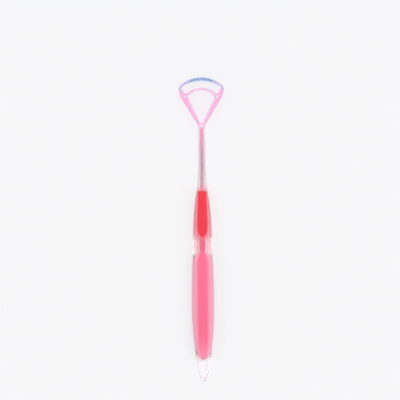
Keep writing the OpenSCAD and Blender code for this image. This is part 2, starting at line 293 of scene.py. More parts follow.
@with_names
class ScraperStageSettings(bpy.types.PropertyGroup):
    """Floor, lamps and camera."""

    floor_size: length("Side of the square floor", 3000)
    floor_gap: length("From the tool's back down to the floor", 0.02)
    tint_floor: tint("Pale floor", 246, 246, 248)
    tint_beyond: tint("What lies beyond the floor's edge", 249, 249, 250)
    paler: share("How much paler the floor is seen than it is lit", 0.6)
    world_strength: share("Even light from all round", 0.6)
    key_strength: share("Broad soft light from above", 1, 20)
    key_angle: angle("How broad that light is", 55)
    side_strength: share("Each of the two narrower side lights", 0.26, 20)
    side_angle: angle("How broad a side light is", 28)
    view_width: length("What the camera takes in, from left to right", 240)
    view_x: length("Middle of the camera's view, across the tool", -1.3, -1)
    view_y: length("Middle of the camera's view, along the tool", 17.65, -1)
    view_roll: angle("Turn of the camera about its own line of sight", -0.5)


# ---- curves of the handle


def between(table, t):
    """A smooth curve through the points of a table."""
    i = 0
    while i < len(table) - 2 and t >= table[i + 1][0]:
        i += 1

    def slope(k):
        a, b = table[max(k - 1, 0)], table[min(k + 1, len(table) - 1)]
        return (b[1] - a[1]) / (b[0] - a[0])

    gap = table[i + 1][0] - table[i][0]
    s = min(max((t - table[i][0]) / gap, 0), 1)
    return (
        (2 * s**3 - 3 * s**2 + 1) * table[i][1]
        + (3 * s**2 - 2 * s**3) * table[i + 1][1]
        + gap * (s**3 - 2 * s**2 + s) * slope(i)
        + gap * (s**3 - s**2) * slope(i + 1)
    )


def ease(t):
    """A step from 0 to 1 that starts and ends gently."""
    s = min(max(t, 0), 1)
    return s * s * (3 - 2 * s)


def taper(t, powers):
    """A rounded end that rises from 0 to 1."""
    s = min(max(t, 0), 1)
    return (1 - (1 - s) ** powers[0]) ** powers[1]


def squarer(wave, power):
    """Carries a circle's sine or cosine over to a squarer section."""
    return np.sign(wave) * np.abs(wave) ** power


def smooth_max(a, b, blend):
    h = max(blend - abs(a - b), 0) / blend
    return max(a, b) + h * h * blend / 4


def spaced(low, high, steps):
    """Places from low to high, closer together at both ends."""
    return [low + (high - low) * (1 - math.cos(math.pi * i / steps)) / 2 for i in range(steps + 1)]


def curving(low, high, steps):
    """Places from low to high, closer together where they start."""
    turn = math.pi / 2 / steps
    return [low + (high - low) * (1 - math.cos(turn * i)) for i in range(steps + 1)]


def onward(places, *stretches):
    """Carries places on through even stretches, each given by its end and its points."""
    for end, points in stretches:
        places = places + list(np.linspace(places[-1], end, points)[1:])
    return places


class Tool:
    """The tool's lengths and its sections, at a distance from the tip of its tail."""

    TAIL_ROUND = 0.112  # the round tail, as a share of the handle's length
    SHOULDER = 0.045  # a third of the shoulder up to the neck, as the same share

    def __init__(self, scene):
        self.handle, self.head = scene.scraper_handle, scene.scraper_head
        self.grip, self.pad = scene.scraper_grip, scene.scraper_pad
        handle, grip = self.handle, self.grip
        self.whole = handle.handle_length
        self.power = handle.section_power
        self.round_end = self.TAIL_ROUND * self.whole
        self.shoulder_end = (1 + 3 * self.SHOULDER) * self.whole
        self.head_start = self.whole + handle.neck_length
        self.total = self.head_start + self.head.reach
        self.middle_height = handle.handle_depth / 2 - handle.flat_cut
        self.head_depth = self.head.plate + self.head.ridge_height
        self.head_bottom = self.middle_height - self.head_depth / 2
        self.widths = self.with_neck(WIDTH_SHARES, handle.neck_width / handle.handle_width)
        self.depths = self.with_neck(DEPTH_SHARES, handle.neck_depth / handle.handle_depth)
        self.grip_start = grip.tail_length
        self.grip_end = self.grip_start + grip.grip_length
        self.bed_start = self.grip_end + grip.bridge_length
        self.pad_start = self.bed_start + grip.bed_border
        self.pad_end = self.pad_start + self.pad.pad_length
        self.bed_end = self.pad_end + grip.bed_top_border

    def with_neck(self, table, neck):
        """The handle's table, carried on into the neck."""
        halfway = (neck + table[-1][1]) / 2
        return table + [(1 + self.SHOULDER, halfway), (1 + 3 * self.SHOULDER, neck), (2, neck)]

    def half(self, size, table, s):
        """Half a size of the handle at s, by its table and its round tail."""
        return size / 2 * between(table, s / self.whole) * taper(s / self.round_end, ROUND)

    def half_width(self, s):
        return self.half(self.handle.handle_width, self.widths, s)

    def half_depth(self, s):
        full = self.half(self.handle.handle_depth, self.depths, s)
        run = ease(1 - (self.head_start - s) / (self.handle.neck_length / 2))
        return full + (self.head_depth / 2 - full) * run

    def middle(self, s):
        return self.middle_height + self.handle.handle_depth * between(RISE_SHARES, s / self.whole)

    def along(self, s):
        return s - self.total / 2

    def skin(self, s, angles, lift):
        """Points on the tool's face at s, at these angles from its right side over its front."""
        x = self.half_width(s) * squarer(np.cos(angles), 2 / self.power)
        z = self.middle(s) + lift + self.half_depth(s) * squarer(np.sin(angles), 2 / self.power)
        return np.stack([x, np.full_like(x, self.along(s)), z], axis=-1)

    def outward(self, s, angles):
        """Directions square to the section's outline at these angles."""
        x = squarer(np.cos(angles), 2 - 2 / self.power) / self.half_width(s)
        z = squarer(np.sin(angles), 2 - 2 / self.power) / self.half_depth(s)
        size = np.hypot(x, z)
        return np.stack([x / size, np.zeros_like(x), z / size], axis=-1)

    def pad_half_plan(self, s, low=0.0, high=0.0):
        """Half width of the pad, or of its bed, which is wider by low below and high above."""
        pad = self.pad
        start, end = self.pad_start - low, self.pad_end + high
        if not start < s < end:
            return 0.0
        wide, narrow = pad.pad_width / 2 + low, pad.pad_top_width / 2 + high
        half = wide + (narrow - wide) * (s - start) / (end - start)
        half *= taper((s - start) / (pad.pad_round + low), ROUND)
        return half * taper((end - s) / pad.pad_top_round, SQUARE)


# ---- meshes

MERGE = 0.002 * MM


def placed(name, data):
    """A new object in the scene."""
    piece = bpy.data.objects.new(name, data)
    bpy.context.scene.collection.objects.link(piece)
    return piece


def meshed(name, points, edges=(), faces=(), **attributes):
    """A new object with a mesh, and numbers held at its points."""
    mesh = bpy.data.meshes.new(name)
    mesh.from_pydata(points, edges, faces)
    for key, values in attributes.items():
        mesh.attributes.new(key, "FLOAT", "POINT").data.foreach_set("value", values)
    return placed(name, mesh)


def tidied(piece, sharp=40):
    """Merges doubles, drops what has no area, points faces outwards and shades them smooth.

    Edges that bend by more than sharp degrees stay sharp.
    """
    mesh = piece.data
    work = bmesh.new()
    work.from_mesh(mesh)
    bmesh.ops.remove_doubles(work, verts=work.verts, dist=MERGE)
    bmesh.ops.dissolve_degenerate(work, edges=work.edges, dist=MERGE / 2)
    loose = [v for v in work.verts if not v.link_faces]
    bmesh.ops.delete(work, geom=loose, context="VERTS")
    bmesh.ops.recalc_face_normals(work, faces=work.faces)
    work.to_mesh(mesh)
    work.free()
    mesh.shade_smooth()
    mesh.set_sharp_from_angle(angle=math.radians(sharp))
    return piece


def applied(piece, name):
    """A plain mesh object in the place of a curve, or of a piece with modifiers."""
    graph = bpy.context.evaluated_depsgraph_get()
    mesh = bpy.data.meshes.new_from_object(piece.evaluated_get(graph), depsgraph=graph)
    bpy.data.batch_remove([piece, piece.data])
    mesh.name = name
    return placed(name, mesh)


def ride(piece, slot, *nodes):
    """Makes a finished piece part of the object."""
    if not len(piece.data.polygons):
        raise RuntimeError(f"{piece.name} has no faces")
    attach(piece, BODY)
    if nodes:
        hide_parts(*nodes)


def united(base, others, name):
    """One closed mesh from overlapping closed meshes."""
    for other in others:
        modifier = base.modifiers.new("join", "BOOLEAN")
        modifier.operation = "UNION"
        modifier.solver = "EXACT"
        modifier.object = other
    result = applied(base, name)
    bpy.data.batch_remove([data for other in others for data in (other, other.data)])
    return result


def plate(name, outlines, low, high, rounding, material):
    """A flat moulding with rounded edges: the first outline is its border, the others are holes."""
    curve = bpy.data.curves.new(name, "CURVE")
    curve.dimensions = "2D"
    curve.fill_mode = "BOTH"
    for number, outline in enumerate(outlines):
        spline = curve.splines.new("POLY")
        spline.points.add(len(outline) - 1)
        for point, (x, y) in zip(spline.points, reversed(outline) if number else outline):
            point.co = (x, y, 0, 1)
        spline.use_cyclic_u = True
    curve.bevel_depth = rounding
    curve.bevel_resolution = 3
    curve.offset = -rounding
    curve.extrude = (high - low) / 2 - rounding
    curve.materials.append(material)
    result = applied(placed(name, curve), name)
    result.data.transform(Matrix.Translation((0, 0, (low + high) / 2)))
    return tidied(result)


def soft_shell(name, tool, places, border, lift, floor_of, rounding, columns, material):
    """A closed soft shot on the tool's face.

    border gives, at a place, the angle on the section where the shot ends. floor_of gives the
    points under it. Near its border the face rounds down by rounding. The attribute "across" runs
    from 0 along the middle to 1 at the border.
    """
    turns = np.sin(np.linspace(-1, 1, columns + 1) * math.pi / 2)
    rows = []
    for s in places:
        angles = math.pi / 2 - turns * (math.pi / 2 - border(s))
        face = tool.skin(s, angles, lift)
        rows.append((face, floor_of(s, face), tool.outward(s, angles)))
    top, under, normal = (np.array(points) for points in zip(*rows))
    rim = np.concatenate([top[:, 0], top[::-1, -1]])
    step = np.roll(rim, -1, axis=0) - rim
    size = np.maximum((step**2).sum(-1), 1e-18)

    def nearest(points):
        """How far each point lies from the rim."""
        gap = points[:, None, :] - rim[None]
        part = np.clip((gap * step).sum(-1) / size, 0, 1)
        return np.sqrt(((gap - part[..., None] * step) ** 2).sum(-1)).min(1)

    near = np.stack([nearest(points) for points in top])
    fall = rounding - np.sqrt(np.maximum(rounding**2 - np.maximum(rounding - near, 0) ** 2, 0))
    top = top - normal * fall[..., None]
    widest = np.maximum(np.abs(top[..., 0]).max(axis=1, keepdims=True), 0.01 * MM)
    across = np.tile((np.abs(top[..., 0]) / widest).ravel(), 2)
    points = np.concatenate([top.reshape(-1, 3), under.reshape(-1, 3)])
    grid = np.arange(near.size).reshape(near.shape)
    low = near.size
    faces = []
    for a, b in zip(grid, grid[1:]):
        for k in range(columns):
            faces.append((a[k], a[k + 1], b[k + 1], b[k]))
            faces.append((low + a[k], low + b[k], low + b[k + 1], low + a[k + 1]))
        faces += [(a[k], b[k], low + b[k], low + a[k]) for k in (0, columns)]
    for a in (grid[0], grid[-1]):
        faces += [(a[k], low + a[k], low + a[k + 1], a[k + 1]) for k in range(columns)]
    piece = meshed(name, points.tolist(), faces=faces, across=across)
    piece.data.materials.append(material)
    return tidied(piece)


# ---- node trees


def reckoned(operation, flipped=False):
    """A method that adds a Math node for a value and what it is reckoned with."""

    def method(self, *others):
        values = (self, *others)
        return self.nodes.maths(operation, *(reversed(values) if flipped else values))

    return method


class Value:
    """A node's output. Sums, products and the like on it add Math nodes."""

    def __init__(self, nodes, socket):
        self.nodes, self.socket = nodes, socket

    __add__ = __radd__ = reckoned("ADD")
    __mul__ = __rmul__ = reckoned("MULTIPLY")
    __sub__, __rsub__ = reckoned("SUBTRACT"), reckoned("SUBTRACT", True)
    __truediv__, __rtruediv__ = reckoned("DIVIDE"), reckoned("DIVIDE", True)
    __pow__, __abs__ = reckoned("POWER"), reckoned("ABSOLUTE")
    least, most = reckoned("MINIMUM"), reckoned("MAXIMUM")
    sine, cosine, arcsine = reckoned("SINE"), reckoned("COSINE"), reckoned("ARCSINE")
    root, floor, sign = reckoned("SQRT"), reckoned("FLOOR"), reckoned("SIGN")

    def over(self, low, high):
        """0 below low, 1 above high and a smooth rise between."""
        smooth = {"interpolation_type": "SMOOTHSTEP"}
        return self.nodes.value(
            self.nodes.node("ShaderNodeMapRange", smooth, self, low, high, 0.0, 1.0)
        )


class Nodes:
    """A node tree in the making. A node stands for its first output."""

    def __init__(self, tree):
        self.tree = tree

    def node(self, kind, settings=None, *values, **named):
        """Adds a node: its settings, then its sockets in order or by name, with _ for a space."""
        node = self.tree.nodes.new(kind)
        for key, value in (settings or {}).items():
            setattr(node, key, value)
        for socket, value in zip(node.inputs, values):
            self.feed(socket, value)
        for key, value in named.items():
            self.feed(node.inputs[key.replace("_", " ")], value)
        return node

    def feed(self, socket, value):
        """Links a node or an output to a socket, or sets the socket to a plain value."""
        if isinstance(value, bpy.types.Node):
            value = value.outputs[0]
        elif isinstance(value, Value):
            value = value.socket
        if isinstance(value, bpy.types.NodeSocket):
            self.tree.links.new(value, socket)
        elif socket.type == "RGBA":
            socket.default_value = (*value, 1)
        else:
            socket.default_value = value

    def value(self, node, output=0):
        return Value(self, node.outputs[output])

    def maths(self, operation, *values):
        return self.value(self.node("ShaderNodeMath", {"operation": operation}, *values))


class Tree(Nodes):
    """A Geometry Nodes tree. Its inputs are given by their defaults, or by their kind."""

    def __init__(self, name, **inputs):
        super().__init__(bpy.data.node_groups.new(name, "GeometryNodeTree"))
        face = self.tree.interface
        for label, value in {"Geometry": "Geometry", **inputs, "Material": "Material"}.items():
            plain = isinstance(value, str)
            kind = "NodeSocket" + (value if plain else type(value).__name__.capitalize())
            socket = face.new_socket(label.replace("_", " "), in_out="INPUT", socket_type=kind)
            if not plain:
                socket.default_value = value
        face.new_socket("Geometry", in_out="OUTPUT", socket_type="NodeSocketGeometry")
        self.given = self.node("NodeGroupInput")

    def __getitem__(self, name):
        return self.value(self.given, name)

    def thickened(self, curves, radius, sides):
        """Closed round tubes along curves."""
        thick = self.node("GeometryNodeSetCurveRadius", Curve=curves, Radius=radius)
        circle = self.node("GeometryNodeCurvePrimitiveCircle", Resolution=sides, Radius=1.0)
        return self.node(
            "GeometryNodeCurveToMesh", Curve=thick, Profile_Curve=circle, Scale=radius,
            Fill_Caps=True,
        )

    def finish(self, geometry):
        """Ends the tree: instances become real and take the given material."""
        real = self.node("GeometryNodeRealizeInstances", Geometry=geometry)
        painted = self.node("GeometryNodeSetMaterial", Geometry=real, Material=self["Material"])
        self.node("NodeGroupOutput", Geometry=painted)
        return self

    def run(self, piece, name, **values):
        """Runs the tree on a piece and returns the plain mesh object that it makes."""
        modifier = piece.modifiers.new(self.tree.name, "NODES")
        modifier.node_group = self.tree
        by_name = {item.name: item.identifier for item in self.tree.interface.items_tree}
        for key, value in values.items():
            modifier[by_name[key.replace("_", " ")]] = value
        result = applied(piece, name)
        bpy.data.node_groups.remove(self.tree)
        return result


def swept_section_tree():
    """Rounded sections along a spine whose points hold half_width and half_depth."""
    t = Tree("swept_section", Sides=96, Section_Power=2.4, Floor_Height=0.0)
    spine, sides = t["Geometry"], t["Sides"]
    rings = t.node("GeometryNodeAttributeDomainSize", {"component": "MESH"}, Geometry=spine)
    columns = sides + 1
    grid = t.node(
        "GeometryNodeMeshGrid", Vertices_X=t.value(rings, "Point Count"), Vertices_Y=columns
    )
    index = t.value(t.node("GeometryNodeInputIndex"))
    ring = ((index + 0.5) / columns).floor()
    turn = (index - ring * columns) * (2 * math.pi) / sides
    power = 2.0 / t["Section Power"]

    def sampled(source, kind="FLOAT"):
        settings = {"data_type": kind}
        return t.value(t.node("GeometryNodeSampleIndex", settings, spine, source, ring))

    def named(attribute):
        settings = {"data_type": "FLOAT"}
        return sampled(t.node("GeometryNodeInputNamedAttribute", settings, Name=attribute))

    def rounded(wave):
        return wave.sign() * abs(wave) ** power

    place = sampled(t.node("GeometryNodeInputPosition"), "FLOAT_VECTOR")
    centre = t.node("ShaderNodeSeparateXYZ", Vector=place)
    across = named("half_width") * rounded(turn.cosine())
    up = named("half_depth") * rounded(turn.sine())
    height = (up + t.value(centre, "Z")).most(t["Floor Height"])
    point = t.node("ShaderNodeCombineXYZ", None, across, t.value(centre, "Y"), height)
    moved = t.node("GeometryNodeSetPosition", Geometry=grid, Position=point)
    merged = t.node("GeometryNodeMergeByDistance", Geometry=moved, Distance=MERGE / 2)
    return t.finish(merged)


def nub_row_tree():
    """A row of small rounded cones along an arc about the origin."""
    t = Tree(
        "nub_row", Count=9, Pitch=1.5 * MM, Arc_Radius=18 * MM, Nub_Radius=0.4 * MM,
        Nub_Height=0.8 * MM, Top_Share=0.55, Origin=Vector(),
    )
    reach = t["Arc Radius"]
    step = (t["Pitch"] / 2 / reach).arcsine() * 2
    line = t.node("GeometryNodeMeshLine", {"mode": "OFFSET"}, Count=t["Count"])
    index = t.value(t.node("GeometryNodeInputIndex"))
    turn = step * (index - (t["Count"] - 1) / 2)
    point = t.node("ShaderNodeCombineXYZ", None, turn.sine() * reach, turn.cosine() * reach)
    moved = t.node("ShaderNodeVectorMath", {"operation": "ADD"}, point, t["Origin"])
    points = t.node("GeometryNodeSetPosition", Geometry=line, Position=moved)
    top = t.node("ShaderNodeCombineXYZ", Z=t["Nub Height"])
    upright = t.node("GeometryNodeCurvePrimitiveLine", End=top)
    fine = t.node("GeometryNodeResampleCurve", Curve=upright, Count=10)
    along = t.value(t.node("GeometryNodeSplineParameter"))
    dome_start, tip_left = 0.62, 0.002
    cone = 1 - along * (1 - t["Top Share"])
    cap = (along - dome_start).most(0) / (1 - dome_start + tip_left)
    radius = t["Nub Radius"] * (cone * (1 - cap * cap).root())
    nub = t.thickened(fine, radius, 20)
    return t.finish(t.node("GeometryNodeInstanceOnPoints", Points=points, Instance=nub))


def rib_tree():
    """Round ribs over the pad: the lines given are laid on its face and made thick."""
    t = Tree("lengthwise_ribs", Pad="Object", Rib_Radius=0.28 * MM, Lift=0.02 * MM)
    lines = t.node("GeometryNodeMeshToCurve", Mesh=t["Geometry"])
    pad = t.node("GeometryNodeObjectInfo", {"transform_space": "RELATIVE"}, Object=t["Pad"])
    hit = t.node(
        "GeometryNodeRaycast", Target_Geometry=t.value(pad, "Geometry"),
        Ray_Direction=t.node("ShaderNodeCombineXYZ", Z=-1.0), Ray_Length=1.0,
    )
    lift = t.node("ShaderNodeCombineXYZ", Z=t["Lift"])
    place = t.value(hit, "Hit Position")
    raised = t.node("ShaderNodeVectorMath", {"operation": "ADD"}, place, lift)
    laid = t.node(
        "GeometryNodeSetPosition", Geometry=lines, Position=raised,
        Selection=t.value(hit, "Is Hit"),
    )
    along = t.value(t.node("GeometryNodeSplineParameter"), "Length")
    whole = t.value(t.node("GeometryNodeSplineLength"), "Length")
    back = 1 - (along.least(whole - along) / t["Rib Radius"]).least(1)
    end_left = 0.0004
    radius = t["Rib Radius"] * (1 + end_left - back * back).root()
    return t.finish(t.thickened(laid, radius, 24))


# ---- outlines of the head


def sides_of(outline):
    """Each point of a closed outline with the one that follows it."""
    return zip(outline, outline[1:] + outline[:1])


def toward(a, b, part):
    return (a[0] + (b[0] - a[0]) * part, a[1] + (b[1] - a[1]) * part)


def arc_points(circle, start, end):
    """Points on a circle, anticlockwise from one angle to another, at most 4 degrees apart."""
    x, y, radius = circle
    sweep = (end - start) % (2 * math.pi)
    steps = max(math.ceil(sweep / math.radians(4)), 1)
    turns = [start + sweep * i / steps for i in range(steps + 1)]
    return [(x + radius * math.cos(turn), y + radius * math.sin(turn)) for turn in turns]


def wrapped(circles, inset=0.0):
    """The outline of a band pulled round circles, given anticlockwise as (x, y, radius)."""
    circles = [(x, y, radius - inset) for x, y, radius in circles]
    turns = []
    for a, b in sides_of(circles):
        gap = math.dist(a[:2], b[:2])
        lean = math.acos(min(max((a[2] - b[2]) / gap, -1), 1))
        turns.append(math.atan2(b[1] - a[1], b[0] - a[0]) - lean)
    points = []
    for i, circle in enumerate(circles):
        points += arc_points(circle, turns[i - 1], turns[i])
    return [p for k, p in enumerate(points) if math.dist(p, points[k - 1]) > 0.01 * MM]


def mirrored(circles, top):
    return circles + [top] + [(-x, y, radius) for x, y, radius in reversed(circles)]


def corner(radius, top, half, small):
    """A small circle that rounds the corner between a big arc and an upright."""
    rise = math.sqrt((radius - small) ** 2 - (half - small) ** 2)
    return (half - small, top - radius + rise, small)


def inside(outline, point):
    """True if a point lies inside a convex outline that runs anticlockwise."""
    x, y = point
    return all(
        (b[0] - a[0]) * (y - a[1]) >= (b[1] - a[1]) * (x - a[0]) for a, b in sides_of(outline)
    )


def carved(shape, tool):
    """A convex outline with another convex outline, which it crosses twice, cut out of it."""
    dense = []
    for a, b in sides_of(shape):
        steps = max(math.ceil(math.dist(a, b) / (0.2 * MM)), 1)
        dense += [toward(a, b, i / steps) for i in range(steps)]

    def crossing(a, b):
        """Where the step from a to b crosses the tool's outline."""
        for _ in range(40):
            middle = toward(a, b, 0.5)
            if inside(tool, middle) == inside(tool, a):
                a = middle
            else:
                b = middle
        return a

    def run(points, kept):
        """The unbroken run of kept points, with the point before it and the one after it."""
        start = next(i for i, keep in enumerate(kept) if keep and not kept[i - 1])
        turned = points[start:] + points[:start]
        length_kept = sum(kept)
        return turned[-1], turned[:length_kept], turned[length_kept]

    before, bare, after = run(dense, [not inside(tool, p) for p in dense])
    _, within, _ = run(tool, [inside(shape, p) for p in tool])
    points = [crossing(before, bare[0]), *bare, crossing(bare[-1], after), *reversed(within)]
    return [p for k, p in enumerate(points) if math.dist(p, points[k - 1]) > 0.02 * MM]


def right_of(outline, limit):
    """The part of an outline that lies to the right of a limit."""
    kept = []
    for a, b in sides_of(outline):
        if a[0] >= limit:
            kept.append(a)
        if (a[0] - limit) * (b[0] - limit) < 0:
            kept.append(toward(a, b, (limit - a[0]) / (b[0] - a[0])))
    return kept


def flipped(outline):
    """An outline's mirror image about the middle line, still anticlockwise."""
    return [(-x, y) for x, y in reversed(outline)]


class HeadOutlines:
    """Every outline of the head, in its own plane, measured from the end of the neck."""

    def __init__(self, head):
        half = head.width / 2
        hip_half = half - head.hip_inset
        knee = corner(head.tip_radius, head.reach, half, head.corner_radius)
        hip = (hip_half - head.hip_radius, knee[1] - head.hip_drop, head.hip_radius)
        tip = (0, head.reach - head.tip_radius, head.tip_radius)
        self.corner_height = knee[1]
        self.fan = [(0, head.base_radius, head.base_radius)] + mirrored([hip, knee], tip)
        top = head.reach - head.tip_band
        foot = knee[1] - head.foot_drop
        lean = math.asin(knee[0] / (head.tip_radius - head.corner_radius))
        reach = head.tip_radius - head.corner_band
        end = (reach * math.sin(lean), head.reach - head.tip_radius + reach * math.cos(lean))
        fall = top - end[1]
        bend = (end[0] ** 2 + fall**2) / 2 / fall
        small = head.window_corner
        low_corner = (hip_half - head.foot_bar - small, foot + small, small)
        high_corner = corner(bend, top, half - head.side_bar, small)
        self.window = mirrored([low_corner, high_corner], (0, top - bend, bend))
        loop_half = half - head.loop_gap
        loop_top = top - head.window_height
        shoulder = corner(head.loop_radius, loop_top, loop_half, head.loop_shoulder)
        self.loop = [(0, head.base_radius, head.base_radius - head.loop_margin)] + mirrored(
            [shoulder], (0, loop_top - head.loop_radius, head.loop_radius)
        )
        small = head.notch_corner
        inner, outer = loop_half - small, loop_half - small + head.notch_width
        high = foot - head.link_bar - small
        low = high - head.notch_length + small
        self.notch = [(inner, low, small), (outer, high, small), (inner, high, small)]


# ---- materials


class Paint(Nodes):
    """One procedural material, or the world, in the making."""

    def __init__(self, owner):
        owner.use_nodes = True
        super().__init__(owner.node_tree)
        self.owner = owner
        self.tree.nodes.clear()

    def axes(self):
        """The place on the piece, and its three coordinates."""
        self.place = self.node("ShaderNodeTexCoord").outputs["Object"]
        split = self.node("ShaderNodeSeparateXYZ", None, self.place)
        self.x, self.y, self.z = (self.value(split, axis) for axis in "XYZ")

    def seen(self):
        """1 for what the camera sees, straight, in gloss or through clear plastic."""
        rays = self.node("ShaderNodeLightPath")
        straight, gloss, through = (
            self.value(rays, f"Is {kind} Ray") for kind in ("Camera", "Glossy", "Transmission")
        )
        return straight.most(gloss).most(through)

    def noise(self, scale, detail, stretch=(1, 1, 1)):
        """Smooth noise from 0 to 1 on the piece, stretched along its axes."""
        mapping = self.node("ShaderNodeMapping", None, self.place, Scale=stretch)
        return self.value(
            self.node(
                "ShaderNodeTexNoise", {"noise_dimensions": "3D"}, Vector=mapping, Scale=scale,
                Detail=detail, Roughness=0.5,
            )
        )

    def mix(self, first, second, part):
        """A colour between two, by a share from 0 to 1."""
        node = self.node("ShaderNodeMix", {"data_type": "RGBA", "blend_type": "MIX"})
        sockets = {s.identifier: s for s in (*node.inputs, *node.outputs)}
        for name, value in (("Factor_Float", part), ("A_Color", first), ("B_Color", second)):
            self.feed(sockets[name], value)
        return sockets["Result_Color"]

    def bump(self, height, strength, distance):
        return self.node(
            "ShaderNodeBump", None, Strength=strength, Distance=distance, Height=height
        )

    def principled(self, **sockets):
        return self.node("ShaderNodeBsdfPrincipled", None, **sockets)

    def surface(self, **sockets):
        """Ends the material with a Principled shader."""
        return self.end(self.principled(**sockets))

    def blend(self, part, first, second):
        return self.node("ShaderNodeMixShader", None, part, first, second)

    def end(self, shader):
        """Ends the tree with its output, and returns the material or the world."""
        kind = "World" if isinstance(self.owner, bpy.types.World) else "Material"
        self.node("ShaderNodeOutput" + kind, None, Surface=shader)
        return self.owner


def new_paint(name):
    """A new material whose patterns lie in the piece's own coordinates."""
    paint = Paint(bpy.data.materials.new(name))
    paint.axes()
    return paint


def clear_plastic(tool):
    """Clear plastic, pink at the head and cool along its tip, with painted shade along the neck's
    middle, painted pink glow near the soft shots, and painted shade and a painted highlight on the
    head's ridges.
    """
    handle, head = tool.handle, tool.head
    p = new_paint("clear_plastic")
    start = tool.along(tool.head_start)
    shoulder = tool.along(tool.whole)
    nose, bed_end = tool.along(tool.grip_end), tool.along(tool.bed_end)
    cloud = p.noise(60, 3, (1, 0.25, 1))

    # The handle, the flanks beside the bed with a painted pink glow, and the painted shade along
    # the neck's middle
    on_head = p.y.over(start - 1.5 * MM, start + 0.5 * MM)
    on_neck = p.y.over(shoulder - 12 * MM, shoulder - 2.5 * MM)
    near_middle = 1 - abs(p.x).over(0.3 * MM, 1.6 * MM)
    # Painted shade along the middle of the neck
    neck_middle_shade = near_middle * on_neck * (1 - on_head) * (0.75 + 0.4 * cloud)
    high = p.y.over(shoulder + 0.35 * handle.neck_length, start - 0.1 * handle.neck_length)
    deeper = p.mix(handle.tint_strand, handle.tint_high, high)
    # Painted pink glow where the neck leaves the thumb pad
    deeper = p.mix(handle.tint_root, deeper, p.y.over(bed_end, bed_end + 5 * MM))
    past_bed = p.y.over(bed_end + 0.5 * MM, bed_end + 4 * MM)
    beside = 1 - abs(p.x).over(0.5 * tool.grip.bridge_width, 0.5 * handle.handle_width)
    # Painted pink glow from the soft shot, strongest beside it
    glow = p.y.over(nose - 3 * MM, nose + 1 * MM) * (1 - past_bed) * (0.3 + 0.7 * beside)
    colour = p.mix(handle.tint_clear, handle.tint_glow, 0.8 * glow)
    colour = p.mix(colour, deeper, neck_middle_shade)

    # The head: its frame, painted shade on the flanks of its raised ridges and a painted highlight
    # along their crown, and the band along its tip
    rise = p.y - (start + head.reach - head.tip_radius)
    reach = (p.x * p.x + rise * rise) ** 0.5
    band = reach.over(head.tip_radius - 1.3 * head.tip_band, head.tip_radius - 0.95 * head.tip_band)
    band = band * p.y.over(start + 0.62 * head.reach, start + 0.82 * head.reach)
    cool = 1 - abs(p.x).over(0.2 * head.width, 0.36 * head.width)
    along_tip = p.mix(head.tint_tip, head.tint_cool, cool)
    level = tool.head_bottom + head.plate
    crown = level + head.ridge_height
    # Painted shade on the ridges' flanks and a painted highlight along their crown
    raised = p.z.over(level - 0.2 * MM, level + 0.3 * MM)
    on_crown = p.z.over(crown - 0.35 * MM, crown - 0.1 * MM)
    frame_tint = p.mix(head.tint_frame, head.tint_rim, raised)
    frame_tint = p.mix(frame_tint, head.tint_crown, on_crown)
    colour = p.mix(colour, p.mix(frame_tint, along_tip, band), on_head)

    # Clear, with a milky pink shader beside the bed that paints the pad's pink glow and lightens
    # the shade there, and with a faint shadow
    clear = p.principled(
        Base_Color=colour,
        Roughness=0.07 + 0.05 * cloud,
        Normal=p.bump(p.noise(900, 2, (1, 0.12, 1)), 0.12, 0.02 * MM),
        IOR=1.49,
        Transmission_Weight=0.86,
        Coat_Weight=0.3,
        Coat_Roughness=0.04,
    )
    # Painted pink glow and lightened shade on the clear flanks beside the bed
    painted_bloom = p.principled(Base_Color=handle.tint_bloom, Roughness=0.3 + 0.1 * cloud, IOR=1.49)
    alongside = p.y.over(nose + 5 * MM, nose + 11 * MM)
    alongside = alongside * (1 - p.y.over(bed_end - 4 * MM, bed_end + 0.4 * MM))
    body = p.blend(0.55 * alongside, clear, painted_bloom)
    through = p.node("ShaderNodeBsdfTransparent", None, Color=(0.93, 0.88, 0.9))
    shadow = p.value(p.node("ShaderNodeLightPath"), "Is Shadow Ray")
    return p.end(p.blend(shadow, body, through))


def nub_plastic(tool):
    """The nubs' plastic: a deep blue that is painted shade, for how dark each small clear nub
    looks, with a slightly paler top that is a painted highlight.
    """
    p = new_paint("nub_plastic")
    cloud = p.noise(1500, 2)
    # Painted highlight: a slightly paler top on each nub
    top = p.z.over(HEAD_BOX[1].z - 0.9 * MM, HEAD_BOX[1].z - 0.3 * MM)
    colour = p.mix(tool.head.tint_nub, tool.head.tint_cool, 0.1 * top + 0.15 * cloud)
    return p.surface(
        Base_Color=colour,
        Roughness=0.18 + 0.08 * cloud,
        Normal=p.bump(cloud, 0.15, 0.02 * MM),
        IOR=1.49,
        Transmission_Weight=0.1,
    )


